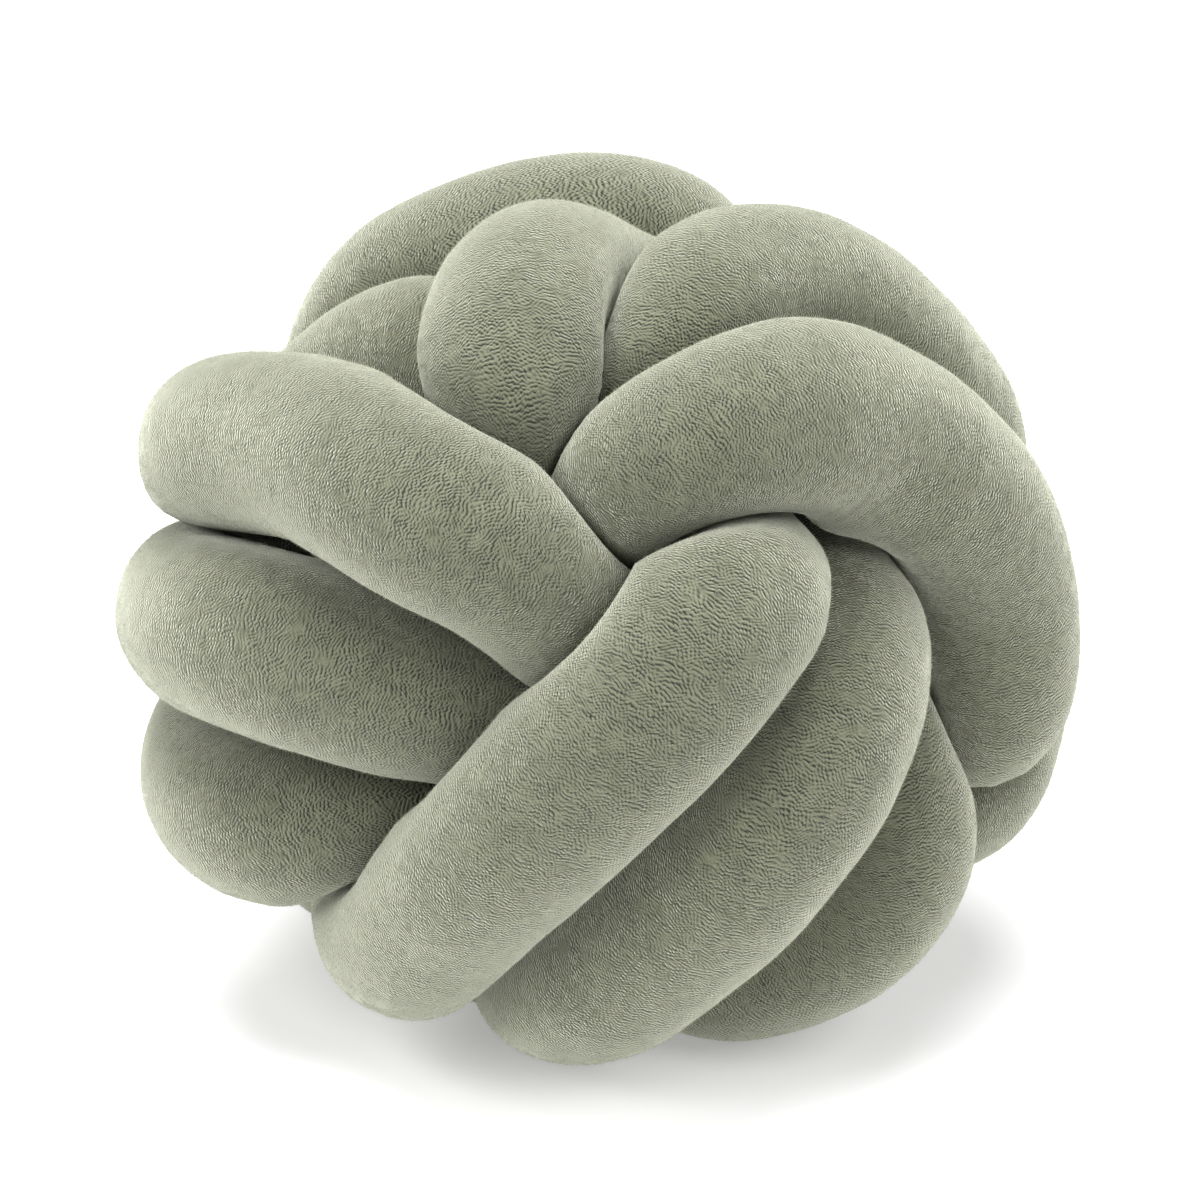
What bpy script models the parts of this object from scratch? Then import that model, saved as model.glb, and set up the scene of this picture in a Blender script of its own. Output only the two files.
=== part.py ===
"""Knot cushion: one long stuffed plush tube tied into a ball.

The ball is a three-turn fist knot.  Nine loops lie in three sets of three,
each set square to the other two.  The tube is laid through a short list of
places for every pass, eased apart where two passes crowd, and then skinned.
Where two passes press together both stop at the plane half way between them,
which gives the flat pressed sides and sharp creases of the real cushion.
"""
import math

import bpy
import numpy as np
from mathutils.bvhtree import BVHTree

# ---- driving sizes, in metres -------------------------------------------
TUBE = 0.0520            # the stuffed tube, across, where nothing presses it
HALF_GAP = 0.0007        # clear space each side of a pressed crease
FLAT = 0.0090            # how far the ball is pressed flat where it rests
RINGS = 384              # rings of the skin along the tube
SIDES = 14               # corners of each ring

# ---- how full the tube is, in tube widths --------------------------------
FULL = 0.540             # half width in the open middle of an outer pass
NECK = 0.480             # half width where an outer pass turns under
INSIDE = 0.420           # half width inside the ball
TIP = 0.300              # half width at the two closed tips
SWELL = 0.250            # extra fullness towards the middle of the ball

# ---- how the passes settle against each other, in tube widths ------------
SPACE_OUTER = 0.96
SPACE_MIXED = 0.74
SPACE_INNER = 0.62
REACH = 2.17             # hidden passes stay inside this distance
FLOOR = 1.98             # the floor holds every pass up to this depth
TIGHTEST = 1.50          # the tightest bend, as one over its radius
ROUNDS = 120
PITCH = 0.20

CALM = 80                # most rounds of drawing the skin back

# ---- the way the knot faces: its three axes in the room -------------------
AXIS_P = (-0.837, -0.518, 0.177)
AXIS_Q = (0.504, -0.856, -0.117)
AXIS_R = (0.212, -0.009, 0.977)

# Every outer pass: set, side, shown (1) or hidden (0), then places p, q, r in
# tube widths from the middle of the ball, in the order of the set's own axis.
# A fourth number is the half width there, where it isn't the usual one.
# Set D runs along r over the q faces, set A along q over the p faces and
# set C along p over the r faces.
PASSES = {
    "D1+": (1, [(1.20, 0.56, -1.52, 0.52), (1.39, 1.23, -1.09, 0.49), (1.15, 1.80, 0.00),
                (0.51, 1.63, 1.10, 0.60)]),
    "D2+": (1, [(0.57, 0.98, -1.80, 0.54), (0.35, 1.80, -1.00), (-0.02, 2.12, 0.10), (-0.62, 1.12, 0.75)]),
    "D3+": (1, [(-0.40, 0.50, -1.60), (-0.42, 1.13, -1.63), (-0.85, 1.58, -1.17), (-1.10, 1.70, -0.53),
                (-1.15, 0.98, 0.00)]),
    "D1-": (1, [(0.95, -1.60, -1.10), (1.00, -1.80, -0.20), (0.81, -1.36, 0.81), (0.59, -0.91, 1.25, 0.52)]),
    "D2-": (1, [(0.20, -1.60, -1.30), (0.35, -2.20, -0.10), (0.50, -2.08, 0.70), (0.38, -1.92, 1.05),
                (0.10, -1.62, 1.43), (-0.42, -1.26, 1.70), (-0.97, -1.05, 1.50), (-1.12, -0.62, 1.12)]),
    "D3-": (0, [(-0.50, -1.60, -1.25), (-0.45, -2.15, -0.15), (-1.25, -1.75, 0.45), (-1.40, -1.20, 0.85)]),
    "A1+": (1, [(1.30, -1.50, 0.25), (1.94, -1.11, 0.50), (1.92, 0.09, 1.02, 0.52), (1.70, 0.84, 1.07, 0.52),
                (0.95, 1.22, 0.83)]),
    "A2+": (1, [(1.30, -1.50, -0.55), (1.95, -0.95, -0.40), (2.13, 0.10, -0.10), (1.08, 0.97, -0.15)]),
    "A3+": (1, [(1.15, -1.25, -1.05), (1.66, -0.73, -1.31), (1.78, 0.10, -1.22), (1.03, 0.43, -1.10)]),
    "A1-": (1, [(-1.40, -1.20, 0.45), (-1.95, -0.70, 0.55), (-2.27, 0.55, 0.00), (-1.99, 1.10, -0.46),
                (-1.51, 1.25, -0.78)]),
    "A2-": (0, [(-1.30, -1.40, -0.25), (-2.00, -0.50, -0.40), (-1.85, 0.30, -1.05), (-1.25, 0.85, -1.20)]),
    "A3-": (0, [(-1.15, -1.35, -0.80), (-1.70, -0.60, -1.30), (-1.38, 0.15, -1.82), (-0.90, 0.65, -1.45)]),
    "C1+": (1, [(-1.38, 1.18, -0.33), (-1.72, 1.44, -0.20), (-1.61, 1.42, 0.39), (-1.47, 1.39, 0.91),
                (-0.85, 1.35, 1.43, 0.58), (0.05, 1.22, 1.75, 0.56), (0.69, 1.33, 1.33)]),
    "C2+": (1, [(-1.80, 0.35, 0.40), (-1.97, 0.36, 0.85), (-1.32, 0.31, 1.53), (-0.82, 0.23, 1.88),
                (0.10, 0.40, 1.95), (0.70, 0.85, 1.50)]),
    "C3+": (1, [(-1.60, -0.35, 0.70), (-1.20, -0.30, 1.35), (-0.40, -0.40, 1.50), (0.12, -0.42, 1.56),
                (0.60, -0.09, 1.84, 0.57), (1.10, 0.36, 1.64, 0.57), (1.25, 0.76, 1.18, 0.54)]),
    "C1-": (0, [(-1.20, 0.10, -1.35), (-0.10, -0.15, -2.02), (0.63, -0.30, -1.62)]),
    "C2-": (0, [(-1.20, -0.40, -1.35), (-0.20, -0.85, -2.05), (0.85, -0.90, -1.60)]),
    "C3-": (0, [(-1.20, -0.80, -1.25), (-0.20, -1.50, -1.75), (0.80, -1.30, -1.40)]),
}

# The tube from tip to tip: an outer pass, the way it is travelled (+1 as
# listed, -1 backwards), then the places it takes inside before the next pass.
ROUTE = [
    ("tip", 1, [(0.10, 0.10, -0.10), (0.30, -0.20, -0.55), (0.60, -0.70, -1.10), (0.85, -1.20, -1.20)]),
    ("D1-", 1, [(0.45, 0.00, 1.10)]),
    ("D1+", -1, [(0.80, -0.50, -1.10)]),
    ("D2-", 1, [(-0.55, 0.40, 1.00)]),
    ("D2+", -1, [(0.10, -0.40, -1.20)]),
    ("D3-", 1, [(-1.05, -0.60, 0.95), (-1.00, 0.40, 0.70)]),
    ("D3+", -1, [(-0.50, -0.20, -1.20), (-0.60, -0.80, -0.85), (-0.80, -1.20, -0.65)]),
    ("A3-", 1, [(-0.20, 1.00, -0.85)]),
    ("A3+", -1, [(0.30, -1.20, -0.75)]),
    ("A2-", 1, [(0.00, 1.25, -0.35)]),
    ("A2+", -1, [(0.00, -1.25, -0.20)]),
    ("A1-", 1, [(-0.20, 1.20, 0.30)]),
    ("A1+", -1, [(0.50, -1.25, 0.30), (-0.40, -1.15, 0.35), (-1.15, -0.75, 0.30)]),
    ("C3+", 1, [(1.05, 0.30, 0.60), (1.05, -0.40, -0.10), (0.95, -0.90, -0.60)]),
    ("C3-", -1, [(-1.15, -0.70, -0.50), (-1.20, -0.20, 0.00)]),
    ("C2+", 1, [(1.00, 0.60, 0.75), (1.15, 0.05, -0.50)]),
    ("C2-", -1, [(-1.20, -0.20, -0.70), (-1.30, 0.40, -0.35)]),
    ("C1+", 1, [(1.00, 0.90, 0.50), (1.10, 0.45, -0.50)]),
    ("C1-", -1, [(-1.10, 0.50, -0.75), (-0.70, 0.45, -0.25), (-0.25, 0.30, 0.10)]),
]


def room_axes():
    """The knot's three axes made exactly square, as rows in the room."""
    u, _, v = np.linalg.svd(np.array([AXIS_P, AXIS_Q, AXIS_R]))
    return u @ v


def lay_places():
    """The places in order, with the half width and the hold at each."""
    places = []
    for name, way, inside in ROUTE:
        if name in PASSES:
            shown, listed = PASSES[name]
            row = listed if way > 0 else listed[::-1]
            for k, place in enumerate(row):
                turn = k in (0, len(row) - 1)
                if shown:
                    hold = 0.07 if turn else 0.30
                else:
                    hold = 0.02 if turn else 0.05
                usual = NECK if turn else FULL
                places.append((place[:3], place[3] if len(place) > 3 else usual, hold))
        for place in inside:
            places.append((place, INSIDE, 0.01))
    spot = np.array([p[0] for p in places], float)
    half = np.array([p[1] for p in places])
    hold = np.array([p[2] for p in places])
    half[:2] = (TIP, 0.38)
    half[-2:] = (0.38, TIP)
    return spot, half, hold


def smooth_through(knots, values, at):
    """A natural cubic through the values at the knots."""
    n = len(knots)
    h = np.diff(knots)
    a = np.zeros((n, n))
    b = np.zeros((n, values.shape[1]))
    a[0, 0] = a[-1, -1] = 1.0
    for i in range(1, n - 1):
        a[i, i - 1] = h[i - 1]
        a[i, i] = 2.0 * (h[i - 1] + h[i])
        a[i, i + 1] = h[i]
        b[i] = 6.0 * ((values[i + 1] - values[i]) / h[i] - (values[i] - values[i - 1]) / h[i - 1])
    m = np.linalg.solve(a, b)
    i = np.clip(np.searchsorted(knots, at) - 1, 0, n - 2)
    lo = (at - knots[i])[:, None]
    hi = (knots[i + 1] - at)[:, None]
    w = h[i][:, None]
    out = (m[i] * hi ** 3 + m[i + 1] * lo ** 3) / (6.0 * w)
    out = out + (values[i] / w - m[i] * w / 6.0) * hi
    return out + (values[i + 1] / w - m[i + 1] * w / 6.0) * lo


def run_length(line):
    """The distance along a line of points."""
    return np.concatenate([[0.0], np.cumsum(np.linalg.norm(np.diff(line, axis=0), axis=1))])


def middle_pull(line):
    """For each point, the step to the middle of its two neighbours."""
    pull = np.zeros_like(line)
    pull[1:-1] = 0.5 * (line[:-2] + line[2:]) - line[1:-1]
    return pull


def ease_bends(line, much):
    """Even out the bends without drawing the line in."""
    pull = middle_pull(line)
    ease = np.zeros_like(line)
    ease[2:-2] = pull[2:-2] - 0.5 * (pull[1:-3] + pull[3:-1])
    return line + much * ease


def lay_line():
    """The tube's own centre line, through the places and eased apart."""
    spot, half, hold = lay_places()
    knots = np.concatenate([[0.0], np.cumsum(np.linalg.norm(np.diff(spot, axis=0), axis=1) ** 0.7)])
    fine = np.linspace(0.0, knots[-1], 6000)
    first = smooth_through(knots, spot, fine)
    along = run_length(first)
    count = int(along[-1] / PITCH) + 1
    at = np.linspace(0.0, along[-1], count)
    back = np.interp(at, along, fine)
    home = smooth_through(knots, spot, back)
    wide = np.interp(back, knots, half)
    firm = np.interp(back, knots, hold)[:, None]
    open_part = np.clip((wide - 0.45) / 0.09, 0.0, 1.0)
    inner = 1.0 - open_part
    space = SPACE_INNER * np.outer(inner, inner) + SPACE_OUTER * np.outer(open_part, open_part)
    space = space + SPACE_MIXED * (np.outer(open_part, inner) + np.outer(inner, open_part))
    apart = np.abs(at[:, None] - at[None, :]) > 1.2
    up = room_axes()[:, 2]
    line = home.copy()
    for _ in range(ROUNDS):
        step = line[:, None] - line[None]
        far = np.sqrt((step * step).sum(2)) + 1e-9
        push = np.where(apart & (far < space), (space - far) / far, 0.0)
        move = 0.2 * (push[:, :, None] * step).sum(1)
        size = np.linalg.norm(move, axis=1, keepdims=True)
        line = line + move * np.minimum(1.0, 0.06 / np.maximum(size, 1e-9))
        out = np.linalg.norm(line, axis=1, keepdims=True)
        over = np.where(out > REACH, 0.5 * (out - REACH) / out, 0.0)
        line = line * (1.0 - over * (1.0 - firm / firm.max()))
        sunk = np.clip(-FLOOR - line @ up, 0.0, None)
        line = line + 0.5 * sunk[:, None] * up
        for _ in range(2):
            line = line + 0.04 * middle_pull(line)
            line = ease_bends(line, 0.35)
        pull = middle_pull(line)
        gap = np.linalg.norm(np.gradient(line, axis=0), axis=1)
        bend = 2.0 * np.linalg.norm(pull, axis=1) / np.maximum(gap, 1e-6) ** 2
        line = line + (0.6 * np.clip((bend - TIGHTEST) / TIGHTEST, 0.0, 1.0))[:, None] * pull
        line = line + firm * (home - line)
    for _ in range(14):
        line = ease_bends(line, 0.45)
    return line, wide


def even_line(line, wide, step):
    """The same line with points an even step apart."""
    along = run_length(line)
    count = int(round(along[-1] / step)) + 1
    at = np.linspace(0.0, along[-1], count)
    return smooth_through(along, line, at), np.interp(at, along, wide)


def ring_axes(line):
    """Two square axes across the line at every point, without twist."""
    head = np.gradient(line, axis=0)
    head /= np.linalg.norm(head, axis=1)[:, None]
    side = np.zeros_like(line)
    start = np.cross(head[0], (0.0, 0.0, 1.0))
    side[0] = start / np.linalg.norm(start)
    for i in range(len(line) - 1):
        v = line[i + 1] - line[i]
        c = v @ v
        rl = side[i] - (2.0 / c) * (v @ side[i]) * v
        tl = head[i] - (2.0 / c) * (v @ head[i]) * v
        u = head[i + 1] - tl
        c = u @ u
        side[i + 1] = rl - (2.0 / c) * (u @ rl) * u if c > 1e-12 else rl
    return head, side, np.cross(head, side)


def skin(line, wide, rings, sides, half_gap):
    """Rings of points on the tube, each stopped where another pass presses."""
    along = run_length(line)
    head, side, rise = ring_axes(line)
    turn = np.gradient(head, axis=0) / np.gradient(along)[:, None]
    at = np.round(np.linspace(0, len(line) - 1, rings)).astype(int)
    angle = np.linspace(0.0, 2.0 * math.pi, sides, endpoint=False)
    shell = np.zeros((rings, sides, 3))
    for k, i in enumerate(at):
        ray = np.cos(angle)[:, None] * side[i] + np.sin(angle)[:, None] * rise[i]
        here = line[i]
        deep = np.linalg.norm(here)
        towards = np.clip(-(ray @ here) / max(deep, 1e-6), 0.0, 1.0)
        want = wide[i] + SWELL * towards * np.clip((2.3 - deep) / 0.6, 0.0, 1.0)
        away = here - line
        near = (np.abs(along[i] - along) > 1.15) & ((away * away).sum(1) < 10.0)
        away = away[near]
        reach = (away * away).sum(1) - half_gap * half_gap
        lean = 2.0 * (half_gap - ray @ away.T)
        stop = np.where(lean > 1e-9, reach[None, :] / np.where(lean > 1e-9, lean, 1.0), 9.0).min(1)
        inner = ray @ turn[i]
        stop = np.minimum(stop, np.where(inner > 0.05, 0.88 / np.maximum(inner, 0.05), 9.0))
        full = (want ** -9.0 + stop ** -9.0) ** (-1.0 / 9.0)
        shell[k] = here + full[:, None] * ray
    return shell, line[at]


def skin_faces(rings, sides):
    """The triangles of the closed tube; the last two points are its tips."""
    faces = []
    for k in range(rings - 1):
        for j in range(sides):
            a = k * sides + j
            b = k * sides + (j + 1) % sides
            faces.append((a, b, b + sides))
            faces.append((a, b + sides, a + sides))
    first = rings * sides
    last = (rings - 1) * sides
    for j in range(sides):
        faces.append((first, (j + 1) % sides, j))
        faces.append((first + 1, last + j, last + (j + 1) % sides))
    return faces


def draw_back(shell, heart, tips, faces):
    """Draw the skin in a little wherever two pressed sides still touch."""
    rings, sides, _ = shell.shape
    keep = np.ones((rings, sides))
    for _ in range(CALM):
        points = heart[:, None, :] + keep[:, :, None] * (shell - heart[:, None, :])
        cloud = [tuple(p) for p in np.concatenate([points.reshape(-1, 3), tips])]
        tree = BVHTree.FromPolygons(cloud, faces, all_triangles=True)
        hit = set()
        for a, b in tree.overlap(tree):
            if a < b and not set(faces[a]) & set(faces[b]):
                hit.update(faces[a])
                hit.update(faces[b])
        hit = [i for i in hit if i < rings * sides]
        if not hit:
            break
        mark = np.zeros(rings * sides)
        mark[hit] = 1.0
        mark = mark.reshape(rings, sides)
        soft = np.roll(mark, 1, 1) + np.roll(mark, -1, 1)
        soft[1:] += mark[:-1]
        soft[:-1] += mark[1:]
        keep = keep * (1.0 - 0.03 * np.maximum(mark, 0.35 * np.minimum(soft, 1.0)))
    return points, len(hit)


def plush():
    """The look of the cloth, plain: a sage green plush."""
    cloth = bpy.data.materials.new("sage_plush")
    cloth.use_nodes = True
    shader = cloth.node_tree.nodes["Principled BSDF"]
    shader.inputs["Base Color"].default_value = (0.36, 0.38, 0.27, 1.0)
    shader.inputs["Roughness"].default_value = 0.95
    return cloth


def build():
    for thing in list(bpy.data.objects):
        bpy.data.objects.remove(thing, do_unlink=True)
    line, wide = lay_line()
    line, wide = even_line(line, wide, 0.05)
    shell, heart = skin(line, wide, RINGS, SIDES, HALF_GAP / TUBE)
    tips = np.array([line[0] + 2.0 * (line[0] - line[1]), line[-1] + 2.0 * (line[-1] - line[-2])])
    faces = skin_faces(RINGS, SIDES)
    shell, left = draw_back(shell, heart, tips, faces)
    print("places that still touch:", left)
    room = np.concatenate([shell.reshape(-1, 3), tips]) @ room_axes() * TUBE
    room[:, 2] = np.maximum(room[:, 2] - room[:, 2].min() - FLAT, 0.0)
    middle = 0.5 * (room.min(0) + room.max(0))
    room = room - (middle[0], middle[1], 0.0)
    mesh = bpy.data.meshes.new("knotted_tube")
    mesh.from_pydata([tuple(p) for p in room], [], faces)
    mesh.update()
    tube = bpy.data.objects.new("knotted_tube", mesh)
    bpy.context.scene.collection.objects.link(tube)
    mesh.materials.append(plush())
    return tube


build()
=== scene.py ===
# %% [markdown]
# # A knot cushion in sage green plush
#
# The cushion is one long stuffed tube of short-pile plush, tied into a ball.
# Nine loops lie in three sets of three, each set square to the other two, as
# in a sailor's fist knot.  This notebook builds what the eye sees: the full
# round tube, its pressed creases, and the soft pile that makes its rims pale,
# its hairs painted paler than the ground as a painted sheen.
#
# The imported model comes first.  It is the frame that everything here fits, so
# it is loaded, with its placing baked into its points, before anything else.

# %% Load the imported cushion
import math

import bpy
import numpy as np
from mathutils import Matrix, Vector, noise
from mathutils.bvhtree import BVHTree


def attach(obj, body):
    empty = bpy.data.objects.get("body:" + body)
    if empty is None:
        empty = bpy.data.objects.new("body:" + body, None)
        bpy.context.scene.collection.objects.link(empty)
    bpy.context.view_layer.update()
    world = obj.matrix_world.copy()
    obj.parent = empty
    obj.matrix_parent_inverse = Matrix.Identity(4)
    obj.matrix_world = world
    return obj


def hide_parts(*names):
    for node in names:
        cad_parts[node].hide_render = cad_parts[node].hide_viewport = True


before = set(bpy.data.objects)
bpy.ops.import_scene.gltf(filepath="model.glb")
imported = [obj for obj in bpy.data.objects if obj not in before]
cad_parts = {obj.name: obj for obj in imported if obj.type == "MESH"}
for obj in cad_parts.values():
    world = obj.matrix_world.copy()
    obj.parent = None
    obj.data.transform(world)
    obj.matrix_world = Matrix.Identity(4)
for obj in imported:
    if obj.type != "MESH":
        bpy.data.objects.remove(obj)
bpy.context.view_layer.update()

# %% [markdown]
# ## Sizes that the maker would write on the bench
#
# The tube is 52 mm across where nothing presses on it.  All other sizes of the
# knot are given in tube widths, because a knot keeps its shape when its rope
# is thicker or thinner.  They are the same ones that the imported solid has.

# %% The sizes of the tube and of the ball
TUBE = 0.0520            # the stuffed tube, across, in metres
FLAT = 0.0090            # how far the ball is pressed flat where it rests
FULL = 0.540             # half width in the open middle of an outer pass
NECK = 0.480             # half width where an outer pass turns under
INSIDE = 0.420           # half width inside the ball
TIP = 0.300              # half width at the two closed tips
SWELL = 0.250            # extra fullness towards the middle of the ball
print("tube", round(TUBE * 1000), "mm across; ball about", round(TUBE * 5.5 * 1000), "mm")

# %% [markdown]
# ## The passes of the knot
#
# A pass is one stretch of tube over the outside of the ball.  Each has a few
# places p, q, r, in tube widths from the middle.  Set D runs along r over the
# q faces, set A along q over the p faces, and set C along p over the r faces.
# A spline through few places bends as evenly as a stuffed tube does, which is
# why the places are few.  A fourth number is the half width there, where it
# isn't the usual one.

# %% The places of every outer pass
PASSES = {
    "D1+": (1, [(1.20, 0.56, -1.52, 0.52), (1.39, 1.23, -1.09, 0.49), (1.15, 1.80, 0.00),
                (0.51, 1.63, 1.10, 0.60)]),
    "D2+": (1, [(0.57, 0.98, -1.80, 0.54), (0.35, 1.80, -1.00), (-0.02, 2.12, 0.10), (-0.62, 1.12, 0.75)]),
    "D3+": (1, [(-0.40, 0.50, -1.60), (-0.42, 1.13, -1.63), (-0.85, 1.58, -1.17), (-1.10, 1.70, -0.53),
                (-1.15, 0.98, 0.00)]),
    "D1-": (1, [(0.95, -1.60, -1.10), (1.00, -1.80, -0.20), (0.81, -1.36, 0.81), (0.59, -0.91, 1.25, 0.52)]),
    "D2-": (1, [(0.20, -1.60, -1.30), (0.35, -2.20, -0.10), (0.50, -2.08, 0.70), (0.38, -1.92, 1.05),
                (0.10, -1.62, 1.43), (-0.42, -1.26, 1.70), (-0.97, -1.05, 1.50), (-1.12, -0.62, 1.12)]),
    "D3-": (0, [(-0.50, -1.60, -1.25), (-0.45, -2.15, -0.15), (-1.25, -1.75, 0.45), (-1.40, -1.20, 0.85)]),
    "A1+": (1, [(1.30, -1.50, 0.25), (1.94, -1.11, 0.50), (1.92, 0.09, 1.02, 0.52), (1.70, 0.84, 1.07, 0.52),
                (0.95, 1.22, 0.83)]),
    "A2+": (1, [(1.30, -1.50, -0.55), (1.95, -0.95, -0.40), (2.13, 0.10, -0.10), (1.08, 0.97, -0.15)]),
    "A3+": (1, [(1.15, -1.25, -1.05), (1.66, -0.73, -1.31), (1.78, 0.10, -1.22), (1.03, 0.43, -1.10)]),
    "A1-": (1, [(-1.40, -1.20, 0.45), (-1.95, -0.70, 0.55), (-2.27, 0.55, 0.00), (-1.99, 1.10, -0.46),
                (-1.51, 1.25, -0.78)]),
    "A2-": (0, [(-1.30, -1.40, -0.25), (-2.00, -0.50, -0.40), (-1.85, 0.30, -1.05), (-1.25, 0.85, -1.20)]),
    "A3-": (0, [(-1.15, -1.35, -0.80), (-1.70, -0.60, -1.30), (-1.38, 0.15, -1.82), (-0.90, 0.65, -1.45)]),
    "C1+": (1, [(-1.38, 1.18, -0.33), (-1.72, 1.44, -0.20), (-1.61, 1.42, 0.39), (-1.47, 1.39, 0.91),
                (-0.85, 1.35, 1.43, 0.58), (0.05, 1.22, 1.75, 0.56), (0.69, 1.33, 1.33)]),
    "C2+": (1, [(-1.80, 0.35, 0.40), (-1.97, 0.36, 0.85), (-1.32, 0.31, 1.53), (-0.82, 0.23, 1.88),
                (0.10, 0.40, 1.95), (0.70, 0.85, 1.50)]),
    "C3+": (1, [(-1.60, -0.35, 0.70), (-1.20, -0.30, 1.35), (-0.40, -0.40, 1.50), (0.12, -0.42, 1.56),
                (0.60, -0.09, 1.84, 0.57), (1.10, 0.36, 1.64, 0.57), (1.25, 0.76, 1.18, 0.54)]),
    "C1-": (0, [(-1.20, 0.10, -1.35), (-0.10, -0.15, -2.02), (0.63, -0.30, -1.62)]),
    "C2-": (0, [(-1.20, -0.40, -1.35), (-0.20, -0.85, -2.05), (0.85, -0.90, -1.60)]),
    "C3-": (0, [(-1.20, -0.80, -1.25), (-0.20, -1.50, -1.75), (0.80, -1.30, -1.40)]),
}
print(len(PASSES), "outer passes")

# %% [markdown]
# ## The order in which the tube is tied
#
# The tube starts at a closed tip in the heart of the ball, makes the three
# turns of set D, then those of set A, then those of set C, and ends in the
# heart again.  Each row gives a pass, the way it is travelled, and the places
# the tube takes inside the ball before the next one.

# %% The route from tip to tip
ROUTE = [
    ("tip", 1, [(0.10, 0.10, -0.10), (0.30, -0.20, -0.55), (0.60, -0.70, -1.10), (0.85, -1.20, -1.20)]),
    ("D1-", 1, [(0.45, 0.00, 1.10)]),
    ("D1+", -1, [(0.80, -0.50, -1.10)]),
    ("D2-", 1, [(-0.55, 0.40, 1.00)]),
    ("D2+", -1, [(0.10, -0.40, -1.20)]),
    ("D3-", 1, [(-1.05, -0.60, 0.95), (-1.00, 0.40, 0.70)]),
    ("D3+", -1, [(-0.50, -0.20, -1.20), (-0.60, -0.80, -0.85), (-0.80, -1.20, -0.65)]),
    ("A3-", 1, [(-0.20, 1.00, -0.85)]),
    ("A3+", -1, [(0.30, -1.20, -0.75)]),
    ("A2-", 1, [(0.00, 1.25, -0.35)]),
    ("A2+", -1, [(0.00, -1.25, -0.20)]),
    ("A1-", 1, [(-0.20, 1.20, 0.30)]),
    ("A1+", -1, [(0.50, -1.25, 0.30), (-0.40, -1.15, 0.35), (-1.15, -0.75, 0.30)]),
    ("C3+", 1, [(1.05, 0.30, 0.60), (1.05, -0.40, -0.10), (0.95, -0.90, -0.60)]),
    ("C3-", -1, [(-1.15, -0.70, -0.50), (-1.20, -0.20, 0.00)]),
    ("C2+", 1, [(1.00, 0.60, 0.75), (1.15, 0.05, -0.50)]),
    ("C2-", -1, [(-1.20, -0.20, -0.70), (-1.30, 0.40, -0.35)]),
    ("C1+", 1, [(1.00, 0.90, 0.50), (1.10, 0.45, -0.50)]),
    ("C1-", -1, [(-1.10, 0.50, -0.75), (-0.70, 0.45, -0.25), (-0.25, 0.30, 0.10)]),
]


# How firmly each kind of place is held while the turns settle: the passes that
# the photograph shows hardly move, and the runs inside the ball move freely.
HOLD_SHOWN, HOLD_SHOWN_TURN = 0.30, 0.07
HOLD_HIDDEN, HOLD_HIDDEN_TURN = 0.05, 0.02
HOLD_INSIDE = 0.01
BESIDE_TIP = 0.38        # half width at the place next to a closed tip


def lay_places():
    """The places in order, with the half width and the hold at each."""
    places = []
    for name, way, inside in ROUTE:
        if name in PASSES:
            shown, listed = PASSES[name]
            row = listed if way > 0 else listed[::-1]
            for k, place in enumerate(row):
                turn = k in (0, len(row) - 1)
                if shown:
                    hold = HOLD_SHOWN_TURN if turn else HOLD_SHOWN
                else:
                    hold = HOLD_HIDDEN_TURN if turn else HOLD_HIDDEN
                usual = NECK if turn else FULL
                places.append((place[:3], place[3] if len(place) > 3 else usual, hold))
        for place in inside:
            places.append((place, INSIDE, HOLD_INSIDE))
    spot = np.array([p[0] for p in places], float)
    half = np.array([p[1] for p in places])
    hold = np.array([p[2] for p in places])
    half[:2] = (TIP, BESIDE_TIP)
    half[-2:] = (BESIDE_TIP, TIP)
    return spot, half, hold


spot, half, hold = lay_places()
print(len(spot), "places from tip to tip")

# %% [markdown]
# ## A smooth line through the places
#
# A natural cubic spline passes through every place with no corner and no
# change of bend.  Blender's own curves could do it, but then the line could
# not be eased in the next step, so the spline is a short function on arrays.

# %% Splines and lengths
def smooth_through(knots, values, at):
    """A natural cubic through the values at the knots."""
    n = len(knots)
    h = np.diff(knots)
    a = np.zeros((n, n))
    b = np.zeros((n, values.shape[1]))
    a[0, 0] = a[-1, -1] = 1.0
    for i in range(1, n - 1):
        a[i, i - 1] = h[i - 1]
        a[i, i] = 2.0 * (h[i - 1] + h[i])
        a[i, i + 1] = h[i]
        b[i] = 6.0 * ((values[i + 1] - values[i]) / h[i] - (values[i] - values[i - 1]) / h[i - 1])
    m = np.linalg.solve(a, b)
    i = np.clip(np.searchsorted(knots, at) - 1, 0, n - 2)
    lo = (at - knots[i])[:, None]
    hi = (knots[i + 1] - at)[:, None]
    w = h[i][:, None]
    out = (m[i] * hi ** 3 + m[i + 1] * lo ** 3) / (6.0 * w)
    out = out + (values[i] / w - m[i] * w / 6.0) * hi
    return out + (values[i + 1] / w - m[i + 1] * w / 6.0) * lo


def run_length(line):
    """The distance along a line of points."""
    return np.concatenate([[0.0], np.cumsum(np.linalg.norm(np.diff(line, axis=0), axis=1))])


def even_line(line, wide, count):
    """The same line and widths, with so many points an even step apart."""
    along = run_length(line)
    at = np.linspace(0.0, along[-1], count)
    return smooth_through(along, line, at), np.interp(at, along, wide)


# %% [markdown]
# ## Settling the turns against each other
#
# In the maker's hands the turns push each other apart until they all lie snug.
# The same is done here in rounds: passes that crowd are pushed apart, hidden
# ones are kept inside the ball and above the table, tight bends are eased, and
# every point is drawn back towards its own place.  A cloth or soft body
# simulation is the other way.  It wasn't tried, because it was expected to take
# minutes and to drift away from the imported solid.

# %% The way the knot faces in the room
AXIS_P = (-0.837, -0.518, 0.177)
AXIS_Q = (0.504, -0.856, -0.117)
AXIS_R = (0.212, -0.009, 0.977)
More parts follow.
